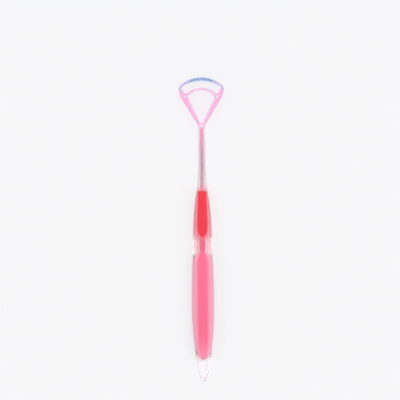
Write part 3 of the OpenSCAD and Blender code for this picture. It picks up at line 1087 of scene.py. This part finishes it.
def soft_pink(tool):
    """Soft pink rubber: paler at its flanks, where the shot thins out and where a painted sheen
    stands in for light on the curved sides, and redder on the bed.
    """
    grip = tool.grip
    p = new_paint("soft_pink")
    pebble = p.noise(2600, 2)
    drift = p.noise(90, 2, (1, 0.3, 1))
    across = p.value(p.node("ShaderNodeAttribute", {"attribute_name": "across"}), "Fac")
    start, end = tool.along(tool.grip_start), tool.along(tool.grip_end)
    bed_start = tool.along(tool.bed_start)
    thin = 1 - p.y.over(start - 3 * MM, start + 1.2 * grip.grip_tail)
    # Paler flanks: partly the thinner shot, partly a painted sheen
    flank = (across + 0.12 * (drift - 0.5)).over(0.28, 0.76).most(0.6 * thin)
    colour = p.mix(grip.tint_grip, grip.tint_flank, flank)
    bed = p.mix(grip.tint_bed, grip.tint_edge, across.over(0.8, 1.02))
    colour = p.mix(colour, grip.tint_bridge, p.y.over(end - 1.5 * MM, end + 1 * MM))
    colour = p.mix(colour, bed, p.y.over(bed_start - 1 * MM, bed_start + 1.5 * MM))
    return p.surface(
        Base_Color=colour,
        Roughness=0.42 + 0.12 * pebble,
        Normal=p.bump(pebble, 0.22, 0.03 * MM),
        IOR=1.5,
        Subsurface_Weight=0.12,
        Subsurface_Radius=(1.0, 0.35, 0.3),
        Subsurface_Scale=1.2 * MM,
        Coat_Weight=0.08,
        Coat_Roughness=0.35,
    )


def soft_red(name, base):
    """Soft red rubber for the thumb pad and for its ribs, whose lighter red is a painted highlight,
    with faint streaks along it.
    """
    p = new_paint(name)
    pebble = p.noise(2600, 2)
    streak = p.noise(700, 2, (1, 0.06, 1))
    return p.surface(
        Base_Color=p.mix(base, [level * 0.82 for level in base], streak.over(0.45, 0.75)),
        Roughness=0.4 + 0.12 * pebble,
        Normal=p.bump(pebble, 0.2, 0.03 * MM),
        IOR=1.5,
        Subsurface_Weight=0.1,
        Subsurface_Radius=(1.0, 0.25, 0.2),
        Subsurface_Scale=1.0 * MM,
    )


def floor_paint(stage):
    """A pale floor that is seen paler than it is lit, and that keeps the tool's soft shadow."""
    p = new_paint("pale_floor")
    grain = p.noise(35, 3)
    colour = p.mix(stage.tint_floor, [level * 0.985 for level in stage.tint_floor], grain)
    lit = p.principled(Base_Color=colour, Roughness=0.85 + 0.1 * grain, Specular_IOR_Level=0.2)
    wall = p.node("ShaderNodeEmission", None, Color=stage.tint_beyond, Strength=1.0)
    return p.end(p.blend(p.seen() * stage.paler, lit, wall))


# ---- operators


class SCRAPER_OT_clear_moulding(bpy.types.Operator):
    """Builds the clear shot: tail, handle core, neck and the fan-shaped head, as one solid."""

    bl_idname = "scraper.clear_moulding"
    bl_label = "Clear moulding"
    bl_options = {"REGISTER", "UNDO"}

    OVERLAP = 2.2 * MM  # how far the core runs into the head

    def execute(self, context):
        tool = Tool(context.scene)
        material = clear_plastic(tool)
        core = self.core(tool, material)
        piece = united(core, self.head(tool, material), "clear_moulding")
        ride(tidied(piece, 35), "clear_plastic", "scraper_head", "handle_core")
        return {"FINISHED"}

    def core(self, tool, material):
        """Tail, handle and neck, whose nose runs a little way into the head."""
        handle, head_start = tool.handle, tool.head_start
        places = curving(0, tool.round_end, 28)
        places = onward(places, (tool.shoulder_end, 190), (head_start, 40))
        places += spaced(head_start, head_start + self.OVERLAP, 18)[1:]
        points, widths, depths = [], [], []
        for s in places:
            fade = 1 - ease((s - tool.whole) / (0.5 * handle.neck_length))
            inset = handle.core_inset * (0.4 + 0.6 * fade)
            past = max(s - head_start, 0) / self.OVERLAP
            close = math.sqrt(max(1 - past**4, 0))
            points.append((0, tool.along(s), tool.middle(s)))
            widths.append(max(tool.half_width(s) - inset, 0) * close)
            depths.append(max(tool.half_depth(s) - inset, 0) * close)
        spine = meshed("spine", points, half_width=widths, half_depth=depths)
        return tidied(
            swept_section_tree().run(
                spine, "core", Sides=handle.sides, Section_Power=handle.section_power,
                Floor_Height=0.0, Material=material,
            )
        )

    def head(self, tool, material):
        """The flat frame, the rim of its loop and the two edges along its tip."""
        head = tool.head
        lines = HeadOutlines(head)
        low, high = tool.head_bottom, tool.head_bottom + tool.head_depth
        level = low + head.plate
        ridge = level - head.ridge_root
        loop = wrapped(lines.loop)
        window = carved(wrapped(lines.window), loop)
        notch = carved(wrapped(lines.notch), loop)
        hole = wrapped(lines.loop, head.loop_bar)
        rim_line = head.loop_bar - head.rim_setback
        rim = [wrapped(lines.loop, rim_line - head.rim_width), wrapped(lines.loop, rim_line)]
        outer = wrapped(lines.fan, head.edge_setback)
        inner = wrapped(lines.fan, head.edge_setback + head.edge_width)
        band = [p for p in outer + inner[::-1] if p[1] > lines.corner_height]
        right = right_of(band, head.nub_pitch * head.nub_count / 2)
        parts = [
            plate(name, outlines, bottom, top, rounding, material)
            for name, outlines, bottom, top, rounding in (
                ("frame", [wrapped(lines.fan), window, notch, flipped(notch), hole], low, level,
                 head.rounding),
                ("rim", rim, ridge, high, head.rim_rounding),
                ("edge_right", [right], ridge, high, head.edge_rounding),
                ("edge_left", [flipped(right)], ridge, high, head.edge_rounding),
            )
        ]
        for part in parts:
            part.data.transform(Matrix.Translation((0, tool.along(tool.head_start), 0)))
        return parts


class SCRAPER_OT_tip_nubs(bpy.types.Operator):
    """Sets the row of small nubs along the tip of the head."""

    bl_idname = "scraper.tip_nubs"
    bl_label = "Tip nubs"
    bl_options = {"REGISTER", "UNDO"}

    def execute(self, context):
        tool = Tool(context.scene)
        head = tool.head
        foot = tool.head_bottom + head.plate - head.nub_root
        piece = nub_row_tree().run(
            meshed("nub_row_seed", [(0, 0, 0)]), "tip_nubs", Count=head.nub_count,
            Pitch=head.nub_pitch, Arc_Radius=head.tip_radius - head.nub_setback,
            Nub_Radius=head.nub_radius, Nub_Height=head.nub_height + head.nub_root,
            Top_Share=head.nub_top_share,
            Origin=(0, tool.along(tool.total - head.tip_radius), foot),
            Material=nub_plastic(tool),
        )
        ride(tidied(piece, 50), "clear_plastic")
        return {"FINISHED"}


class SCRAPER_OT_soft_grip(bpy.types.Operator):
    """Builds the soft pink shot: palm area, bridge and the bed of the thumb pad."""

    bl_idname = "scraper.soft_grip"
    bl_label = "Soft grip"
    bl_options = {"REGISTER", "UNDO"}

    REACH = 1.06  # half width of the palm area, as a share of the handle's
    TURN = 0.9  # the share from which its border turns over the side

    def execute(self, context):
        tool = Tool(context.scene)
        grip, pad, power = tool.grip, tool.pad, tool.power
        parting = tool.middle_height - grip.parting_drop

        def half_plan(s):
            palm = tool.half_width(s) * self.REACH
            palm *= taper((s - tool.grip_start) / grip.grip_tail, TAIL)
            palm *= taper((tool.grip_end - s) / grip.nose_length, NOSE)
            from_nose = tool.grip_end - grip.nose_length / 2
            to_bed = tool.bed_start + pad.pad_round / 2
            bridge = grip.bridge_width / 2 if from_nose < s < to_bed else 0
            bed = tool.pad_half_plan(s, grip.bed_border, grip.bed_top_border)
            if s > tool.pad_start + pad.pad_length / 2 or s < tool.grip_start + grip.grip_tail:
                return max(palm, bridge, bed)
            return smooth_max(smooth_max(palm, bridge, grip.nose_blend), bed, grip.bed_blend)

        def side_angle(s):
            """The angle at which the section meets the parting line, below its middle."""
            drop = (tool.middle(s) - parting) / tool.half_depth(s)
            return -math.copysign(math.asin(min(abs(drop), 1) ** (power / 2)), drop)

        def border(s):
            """Where the shot ends: by its plan, and over the side as the plan nears the side."""
            width = half_plan(s) / tool.half_width(s)
            flat = math.acos(min(width, self.TURN) ** (power / 2))
            over = min(max((width - self.TURN) / (self.REACH - self.TURN), 0), 1)
            return flat + (side_angle(s) - flat) * over

        def under(s, face):
            """The inner face: under the outer one, and never below the parting line."""
            half = tool.half_width(s) - grip.side_wall
            depth = tool.half_depth(s) - grip.side_wall
            centre = tool.middle(s) + grip.side_wall - grip.soft_wall
            reach = max((parting - centre) / depth, 0)
            widest = half * (1 - min(reach, 1) ** power) ** (1 / power)
            x = face[:, 0] * min(1, widest / max(abs(face[0, 0]), 1e-9))
            z = centre + depth * np.maximum(1 - np.abs(x / half) ** power, 0) ** (1 / power)
            return np.stack([x, face[:, 1], np.maximum(z, parting)], axis=-1)

        # Closer together at both ends, and where the palm area runs into the bridge
        first, last = tool.grip_start + MERGE, tool.bed_end - MERGE
        top_start = last - pad.pad_top_round
        places = onward(
            spaced(first, tool.grip_start + 2 * grip.grip_tail, 90)[:45],
            (tool.grip_end - grip.nose_length, 90),
            (tool.grip_end - 2 * MM, 30),
            (tool.grip_end + 0.6 * MM, 36),
            (tool.bed_start - 1 * MM, 20),
            (tool.bed_start + pad.pad_round, 60),
            (top_start, 40),
        )
        places += curving(top_start, last, 20)[1:]
        piece = soft_shell(
            "soft_grip", tool, places, border, 0.0, under, grip.border_rounding, 72,
            soft_pink(tool),
        )
        ride(piece, "soft_pink", "palm_grip")
        return {"FINISHED"}


class SCRAPER_OT_thumb_pad(bpy.types.Operator):
    """Builds the soft red thumb pad and lays its ribs on it."""

    bl_idname = "scraper.thumb_pad"
    bl_label = "Thumb pad"
    bl_options = {"REGISTER", "UNDO"}

    ABOVE = 5 * MM  # from the pad up to the lines that are laid on it
    LOW_GAP, HIGH_GAP = 0.3 * MM, 0.25 * MM  # from where the pad gets too narrow to a rib's ends

    def execute(self, context):
        tool = Tool(context.scene)
        pad = tool.pad

        def border(s):
            width = tool.pad_half_plan(s) / tool.half_width(s)
            return math.acos(min(width, 1) ** (tool.power / 2))

        def under(s, face):
            return face - np.array([0, 0, pad.pad_rise + pad.pad_depth])

        first, last = tool.pad_start + MERGE, tool.pad_end - MERGE
        top_start = last - pad.pad_top_round
        places = onward(curving(first, tool.pad_start + pad.pad_round, 36), (top_start, 60))
        places += curving(top_start, last, 20)[1:]
        base = soft_shell(
            "thumb_pad_base", tool, places, border, pad.pad_rise, under, pad.pad_rounding, 56,
            soft_red("soft_red", pad.tint_pad),
        )
        ribs = rib_tree().run(
            self.rib_lines(tool), "thumb_pad_ribs", Pad=base, Rib_Radius=pad.rib_width / 2,
            Lift=pad.rib_height - pad.rib_width / 2,
            # The ribs' lighter red is a painted highlight
            Material=soft_red("soft_red_rib_highlight", pad.tint_rib),
        )
        ride(base, "soft_red", "thumb_pad")
        ride(tidied(ribs, 50), "soft_red")
        return {"FINISHED"}

    def rib_lines(self, tool):
        """One straight line above the pad for each rib, as long as the pad is wide enough."""
        pad = tool.pad
        spread = pad.pad_top_width - 2 * pad.rib_margin - pad.rib_width
        pitch = spread / max(pad.rib_count - 1, 1)
        height = PAD_BOX[1].z + self.ABOVE
        tried = np.linspace(tool.pad_start, tool.pad_end, 1200)
        points, edges = [], []
        for i in range(pad.rib_count):
            x = pitch * (i - (pad.rib_count - 1) / 2)
            need = abs(x) + pad.rib_width / 2 + pad.rib_margin * 0.4
            fits = [s for s in tried if tool.pad_half_plan(s) > need]
            first = len(points)
            for s in spaced(fits[0] + self.LOW_GAP, fits[-1] - self.HIGH_GAP, 96):
                points.append((x, tool.along(s), height))
            edges += [(k, k + 1) for k in range(first, len(points) - 1)]
        return meshed("rib_lines", points, edges)


class SCRAPER_OT_stage(bpy.types.Operator):
    """Sets the pale floor, the soft lamps, the even world and the camera straight above."""

    bl_idname = "scraper.stage"
    bl_label = "Stage"
    bl_options = {"REGISTER", "UNDO"}

    CORNERS = ((-1, -1), (1, -1), (1, 1), (-1, 1))

    def execute(self, context):
        scene = context.scene
        stage = scene.scraper_stage
        half, level = stage.floor_size / 2, -stage.floor_gap
        floor = meshed(
            "floor", [(x * half, y * half, level) for x, y in self.CORNERS], faces=[range(4)]
        )
        floor.data.materials.append(floor_paint(stage))
        scene.world = self.world(stage)
        for name, power, breadth, place in (
            ("key", stage.key_strength, stage.key_angle, (0.15, 0.35, 0.9)),
            ("side_left", stage.side_strength, stage.side_angle, (-0.8, 0.15, 0.6)),
            ("side_right", stage.side_strength, stage.side_angle, (0.8, -0.1, 0.6)),
        ):
            self.lamp(name, power, breadth, Vector(place))
        scene.camera = self.camera(stage)
        scene.view_settings.view_transform = "Standard"
        return {"FINISHED"}

    def world(self, stage):
        """Even light, with a paler wall that only the camera, gloss and clear plastic see."""
        p = Paint(bpy.data.worlds.new("studio"))
        kind = "ShaderNodeBackground"
        plain = p.node(kind, None, Color=(1, 1, 1), Strength=stage.world_strength)
        wall = p.node(kind, None, Color=stage.tint_beyond, Strength=1.0)
        return p.end(p.blend(p.seen(), plain, wall))

    def lamp(self, name, power, breadth, place):
        """Sets a far soft lamp that shines from a place to the middle of the tool."""
        light = bpy.data.lights.new(name, "SUN")
        light.energy, light.angle = power, breadth
        lamp = placed(name, light)
        lamp.location = place
        lamp.rotation_euler = (-place).to_track_quat("-Z", "Y").to_euler()

    def camera(self, stage):
        """Straight above: a long lens, so that the view is close to a flat scan."""
        data = bpy.data.cameras.new("camera")
        data.lens, data.sensor_width = 135, 36
        data.clip_start, data.clip_end = 0.01, 10
        distance = stage.view_width * data.lens / data.sensor_width
        level = (cad_box[1].z + cad_box[0].z) / 2
        camera = placed("camera", data)
        camera.location = (stage.view_x, stage.view_y, distance + level)
        camera.rotation_euler = (0, 0, stage.view_roll)
        return camera


class SCRAPER_PT_panel(bpy.types.Panel):
    """Lists the pieces of the tongue scraper and their sizes."""

    bl_idname = "SCRAPER_PT_panel"
    bl_label = "Tongue scraper"
    bl_space_type = "VIEW_3D"
    bl_region_type = "UI"
    bl_category = "Scraper"

    def draw(self, context):
        layout = self.layout
        for operator in OPERATORS:
            layout.operator(operator.bl_idname)
        for name in SETTINGS:
            group = getattr(context.scene, name)
            box = layout.box()
            box.label(text=name.replace("scraper_", "").capitalize())
            for key in group.__annotations__:
                box.prop(group, key)


SETTINGS = {
    "scraper_handle": ScraperHandleSettings,
    "scraper_head": ScraperHeadSettings,
    "scraper_grip": ScraperGripSettings,
    "scraper_pad": ScraperPadSettings,
    "scraper_stage": ScraperStageSettings,
}
OPERATORS = (
    SCRAPER_OT_clear_moulding,
    SCRAPER_OT_tip_nubs,
    SCRAPER_OT_soft_grip,
    SCRAPER_OT_thumb_pad,
    SCRAPER_OT_stage,
)
CLASSES = (*SETTINGS.values(), *OPERATORS, SCRAPER_PT_panel)


def register():
    for cls in CLASSES:
        bpy.utils.register_class(cls)
    for name, cls in SETTINGS.items():
        setattr(bpy.types.Scene, name, bpy.props.PointerProperty(type=cls))


def unregister():
    for name in SETTINGS:
        delattr(bpy.types.Scene, name)
    for cls in reversed(CLASSES):
        bpy.utils.unregister_class(cls)


def main():
    """Builds every piece and the stage."""
    register()
    bpy.ops.scraper.clear_moulding()
    bpy.ops.scraper.tip_nubs()
    bpy.ops.scraper.soft_grip()
    bpy.ops.scraper.thumb_pad()
    bpy.ops.scraper.stage()


if __name__ == "__main__":
    main()
